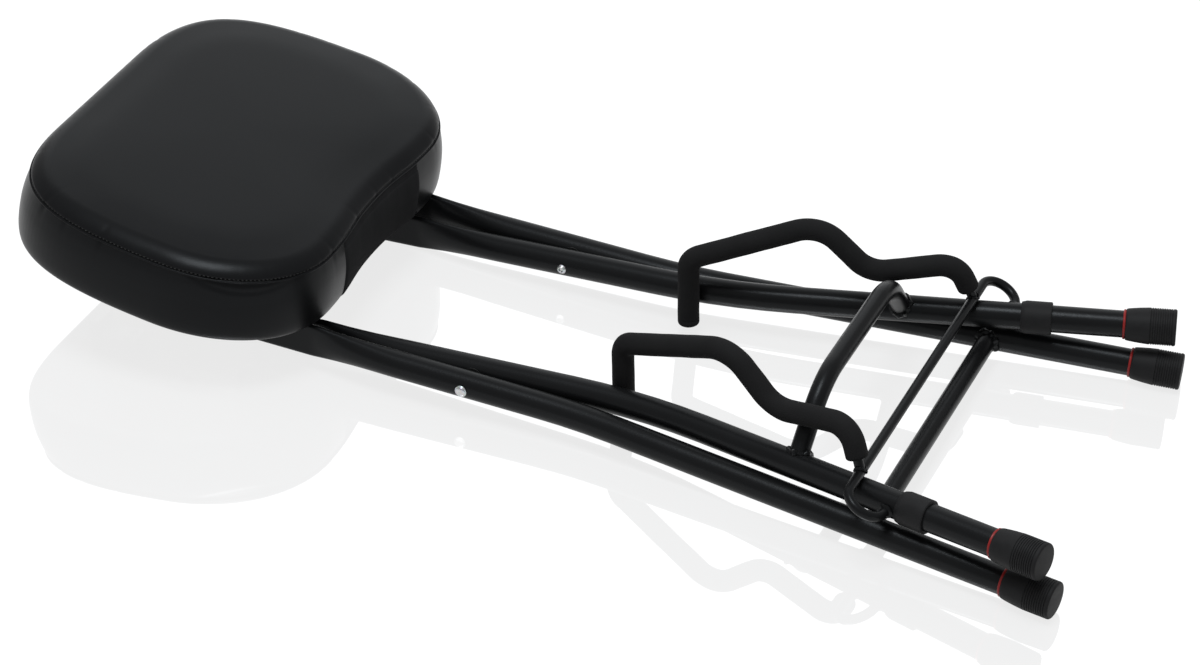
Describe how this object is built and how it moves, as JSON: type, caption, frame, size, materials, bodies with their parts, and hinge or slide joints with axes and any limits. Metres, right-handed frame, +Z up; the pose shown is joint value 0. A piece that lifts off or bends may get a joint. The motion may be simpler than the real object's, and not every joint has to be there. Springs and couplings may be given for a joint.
{
  "type": "folding guitar stool with stand",
  "caption": "Folding padded stool on crossed tube legs, with a swing-down foam-covered wire cradle that holds a guitar, shown folded flat.",
  "frame": {"origin": "on the floor under the middle of the folded stool's box", "axes": "+X along the floor to the feet, +Y to the stool's left side, +Z up"},
  "size_m": [0.9118, 0.381, 0.1448],
  "materials": {
    "powder_coat": "satin",
    "zinc": "satin",
    "rubber": "matte",
    "red_ring": "satin",
    "nylon": "matte",
    "plywood": "matte",
    "leatherette": "satin",
    "suede": "matte",
    "foam": "matte"
  },
  "bodies": {
    "outer_frame": {"outer_leg_left": "powder_coat", "outer_leg_right": "powder_coat", "outer_crossbar": "powder_coat", "outer_foot_left": "rubber", "outer_foot_right": "rubber", "outer_foot_ring_left": "red_ring", "outer_foot_ring_right": "red_ring", "pivot_rivet_left": "zinc", "pivot_rivet_right": "zinc", "pivot_washer_left": "nylon", "pivot_washer_right": "nylon", "hinge_bolt_left": "zinc", "hinge_bolt_right": "zinc", "hinge_nut_left": "zinc", "hinge_nut_right": "zinc"},
    "inner_frame": {"inner_leg_left": "powder_coat", "inner_leg_right": "powder_coat", "arched_bar": "powder_coat", "latch_rod": "powder_coat", "bumper_left": "rubber", "bumper_right": "rubber", "inner_foot_left": "rubber", "inner_foot_right": "rubber", "inner_foot_ring_left": "red_ring", "inner_foot_ring_right": "red_ring"},
    "seat": {"seat_board": "plywood", "seat_cushion": "leatherette", "neck_rest_pad": "suede", "seat_rail_left": "powder_coat", "seat_rail_right": "powder_coat", "latch_saddle_left": "nylon", "latch_saddle_right": "nylon", "seat_screw_1": "zinc", "seat_screw_2": "zinc", "seat_screw_3": "zinc", "seat_screw_4": "zinc", "seat_screw_5": "zinc", "seat_screw_6": "zinc", "seat_screw_7": "zinc", "seat_screw_8": "zinc", "seat_screw_9": "zinc", "seat_screw_10": "zinc"},
    "cradle": {"cradle_rod": "powder_coat", "arm_wire_left": "powder_coat", "arm_wire_right": "powder_coat", "arm_foam_left": "foam", "arm_foam_right": "foam"}
  },
  "joints": [
    {"name": "leg_fold", "type": "hinge", "parent": "outer_frame", "child": "inner_frame", "pos_m": [-0.05395, 0, 0.0247], "axis": [0, -1, 0], "range_deg": [0, 45.85]},
    {"name": "seat_fold", "type": "hinge", "parent": "outer_frame", "child": "seat", "pos_m": [-0.24391, 0, 0.02839], "axis": [0, -1, 0], "range_deg": [0, 122]},
    {"name": "cradle_swing", "type": "hinge", "parent": "inner_frame", "child": "cradle", "pos_m": [0.31254, 0, 0.04414], "axis": [0, 1, 0], "range_deg": [0, 116]}
  ],
  "couplings": [
    {"joint": "seat_fold", "follows": "leg_fold", "ratio": 2.656}
  ]
}
